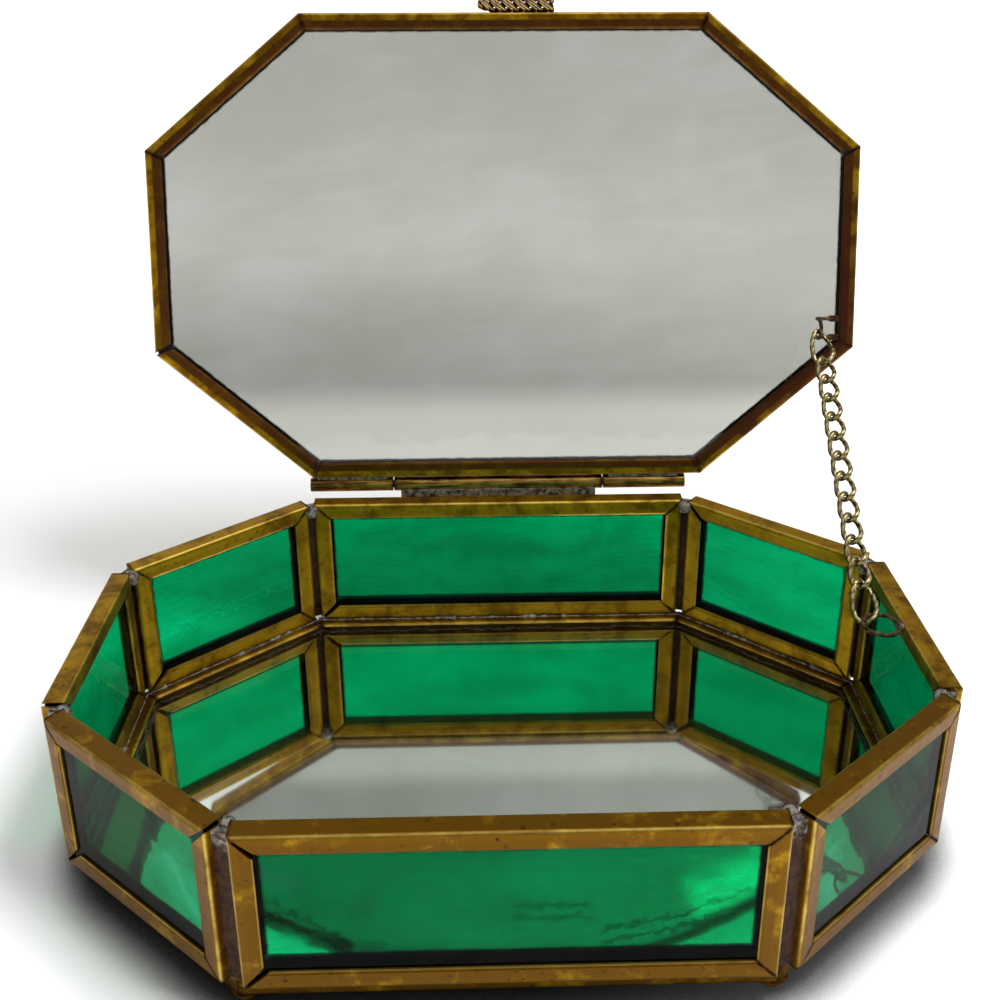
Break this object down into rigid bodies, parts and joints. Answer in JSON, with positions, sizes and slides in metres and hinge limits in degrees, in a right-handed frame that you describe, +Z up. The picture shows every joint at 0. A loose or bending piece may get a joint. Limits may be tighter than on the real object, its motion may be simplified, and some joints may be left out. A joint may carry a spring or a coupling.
{
  "type": "jewellery casket",
  "caption": "Eight-sided casket of green glass panes in folded brass channel, with a mirror floor, domed feet and a clear glass lid on a tube hinge, held open by a curb chain.",
  "frame": {"origin": "middle of the mirror's underside", "axes": "X along the hinge, to the right as seen from the front; Y towards the hinge at the back; Z up"},
  "size_m": [0.1512, 0.123, 0.136],
  "materials": {
    "wall_brass": "aged sheet brass, worn bright along its edges",
    "lid_brass": "aged sheet brass, worn bright along its edges",
    "hinge_brass": "worn brass tube",
    "foot_brass": "worn brass",
    "chain_brass": "bright twisted wire",
    "eyelet_wire": "darkened wire",
    "pull_wire": "darkened twisted wire",
    "solder": "dull grey solder",
    "green_glass": "streaky cathedral glass",
    "clear_glass": "clear glass, dusty",
    "mirror": "silvered glass"
  },
  "bodies": {
    "box": {"front_frame": "wall_brass", "front_right_frame": "wall_brass", "right_end_frame": "wall_brass", "back_right_frame": "wall_brass", "back_frame": "wall_brass", "back_left_frame": "wall_brass", "left_end_frame": "wall_brass", "front_left_frame": "wall_brass", "front_pane": "green_glass", "front_right_pane": "green_glass", "right_end_pane": "green_glass", "back_right_pane": "green_glass", "back_pane": "green_glass", "back_left_pane": "green_glass", "left_end_pane": "green_glass", "front_left_pane": "green_glass", "base_frame": "wall_brass", "base_mirror": "mirror", "corner_solder": "solder", "foot_front_left": "foot_brass", "foot_front_right": "foot_brass", "foot_back_right": "foot_brass", "foot_back_left": "foot_brass", "hinge_knuckle_middle": "hinge_brass", "hinge_pin": "hinge_brass", "hinge_solder_box": "solder", "box_eyelet": "eyelet_wire", "eyelet_solder_box": "solder"},
    "lid": {"lid_frame": "lid_brass", "lid_glass": "clear_glass", "hinge_knuckle_left": "hinge_brass", "hinge_knuckle_right": "hinge_brass", "hinge_solder_lid": "solder", "lid_pull": "pull_wire", "lid_eyelet": "eyelet_wire", "eyelet_solder_lid": "solder"},
    "link_01": {"chain_link_01": "chain_brass"},
    "link_02": {"chain_link_02": "chain_brass"},
    "link_03": {"chain_link_03": "chain_brass"},
    "link_04": {"chain_link_04": "chain_brass"},
    "link_05": {"chain_link_05": "chain_brass"},
    "link_06": {"chain_link_06": "chain_brass"},
    "link_07": {"chain_link_07": "chain_brass"},
    "link_08": {"chain_link_08": "chain_brass"},
    "link_09": {"chain_link_09": "chain_brass"},
    "link_10": {"chain_link_10": "chain_brass"},
    "link_11": {"chain_link_11": "chain_brass"},
    "link_12": {"chain_link_12": "chain_brass"},
    "link_13": {"chain_link_13": "chain_brass"}
  },
  "joints": [
    {"name": "lid_hinge", "type": "hinge", "parent": "box", "child": "lid", "pos_m": [0, 0.05085, 0.03392], "axis": [1, 0, 0], "range_deg": [0, 102.4]},
    {"name": "chain_joint_13", "type": "hinge", "parent": "lid", "child": "link_13", "pos_m": [0.06822, 0.05579, 0.06595], "axis": [1, 0, 0], "range_deg": [-49.25, 0]},
    {"name": "chain_joint_12", "type": "hinge", "parent": "link_13", "child": "link_12", "pos_m": [0.06793, 0.04847, 0.06233], "axis": [1, 0, 0], "range_deg": [-31.61, 0]},
    {"name": "chain_joint_11", "type": "hinge", "parent": "link_12", "child": "link_11", "pos_m": [0.06774, 0.04463, 0.05995], "axis": [1, 0, 0], "range_deg": [-61.12, 0]},
    {"name": "chain_joint_10", "type": "hinge", "parent": "link_11", "child": "link_10", "pos_m": [0.06754, 0.04087, 0.05744], "axis": [1, 0, 0], "range_deg": [-39.26, 0]},
    {"name": "chain_joint_09", "type": "hinge", "parent": "link_10", "child": "link_09", "pos_m": [0.06735, 0.03733, 0.05463], "axis": [1, 0, 0], "range_deg": [-45.98, 0]},
    {"name": "chain_joint_08", "type": "hinge", "parent": "link_09", "child": "link_08", "pos_m": [0.06716, 0.03319, 0.05269], "axis": [1, 0, 0], "range_deg": [0, 59.71]},
    {"name": "chain_joint_07", "type": "hinge", "parent": "link_08", "child": "link_07", "pos_m": [0.06696, 0.0293, 0.05037], "axis": [1, 0, 0], "range_deg": [0, 19.85]},
    {"name": "chain_joint_06", "type": "hinge", "parent": "link_07", "child": "link_06", "pos_m": [0.06677, 0.02575, 0.04756], "axis": [1, 0, 0], "range_deg": [0, 63.45]},
    {"name": "chain_joint_05", "type": "hinge", "parent": "link_06", "child": "link_05", "pos_m": [0.06657, 0.022, 0.04505], "axis": [1, 0, 0], "range_deg": [-11.56, 0]},
    {"name": "chain_joint_04", "type": "hinge", "parent": "link_05", "child": "link_04", "pos_m": [0.06638, 0.01816, 0.04267], "axis": [1, 0, 0], "range_deg": [0, 67.79]},
    {"name": "chain_joint_03", "type": "hinge", "parent": "link_04", "child": "link_03", "pos_m": [0.06619, 0.01428, 0.04034], "axis": [1, 0, 0], "range_deg": [0, 60.84]},
    {"name": "chain_joint_02", "type": "hinge", "parent": "link_03", "child": "link_02", "pos_m": [0.06599, 0.01073, 0.03754], "axis": [1, 0, 0], "range_deg": [0, 27.26]},
    {"name": "chain_joint_01", "type": "hinge", "parent": "link_02", "child": "link_01", "pos_m": [0.0658, 0.00699, 0.03501], "axis": [1, 0, 0], "range_deg": [0, 66.82]}
  ],
  "couplings": [
    {"joint": "chain_joint_13", "follows": "lid_hinge", "ratio": -0.4761},
    {"joint": "chain_joint_12", "follows": "lid_hinge", "ratio": -0.3038},
    {"joint": "chain_joint_11", "follows": "lid_hinge", "ratio": -0.592},
    {"joint": "chain_joint_10", "follows": "lid_hinge", "ratio": -0.3785},
    {"joint": "chain_joint_09", "follows": "lid_hinge", "ratio": -0.4441},
    {"joint": "chain_joint_08", "follows": "lid_hinge", "ratio": 0.5782},
    {"joint": "chain_joint_07", "follows": "lid_hinge", "ratio": 0.189},
    {"joint": "chain_joint_06", "follows": "lid_hinge", "ratio": 0.6147},
    {"joint": "chain_joint_05", "follows": "lid_hinge", "ratio": -0.108},
    {"joint": "chain_joint_04", "follows": "lid_hinge", "ratio": 0.6571},
    {"joint": "chain_joint_03", "follows": "lid_hinge", "ratio": 0.5893},
    {"joint": "chain_joint_02", "follows": "lid_hinge", "ratio": 0.2613},
    {"joint": "chain_joint_01", "follows": "lid_hinge", "ratio": 0.6477}
  ]
}
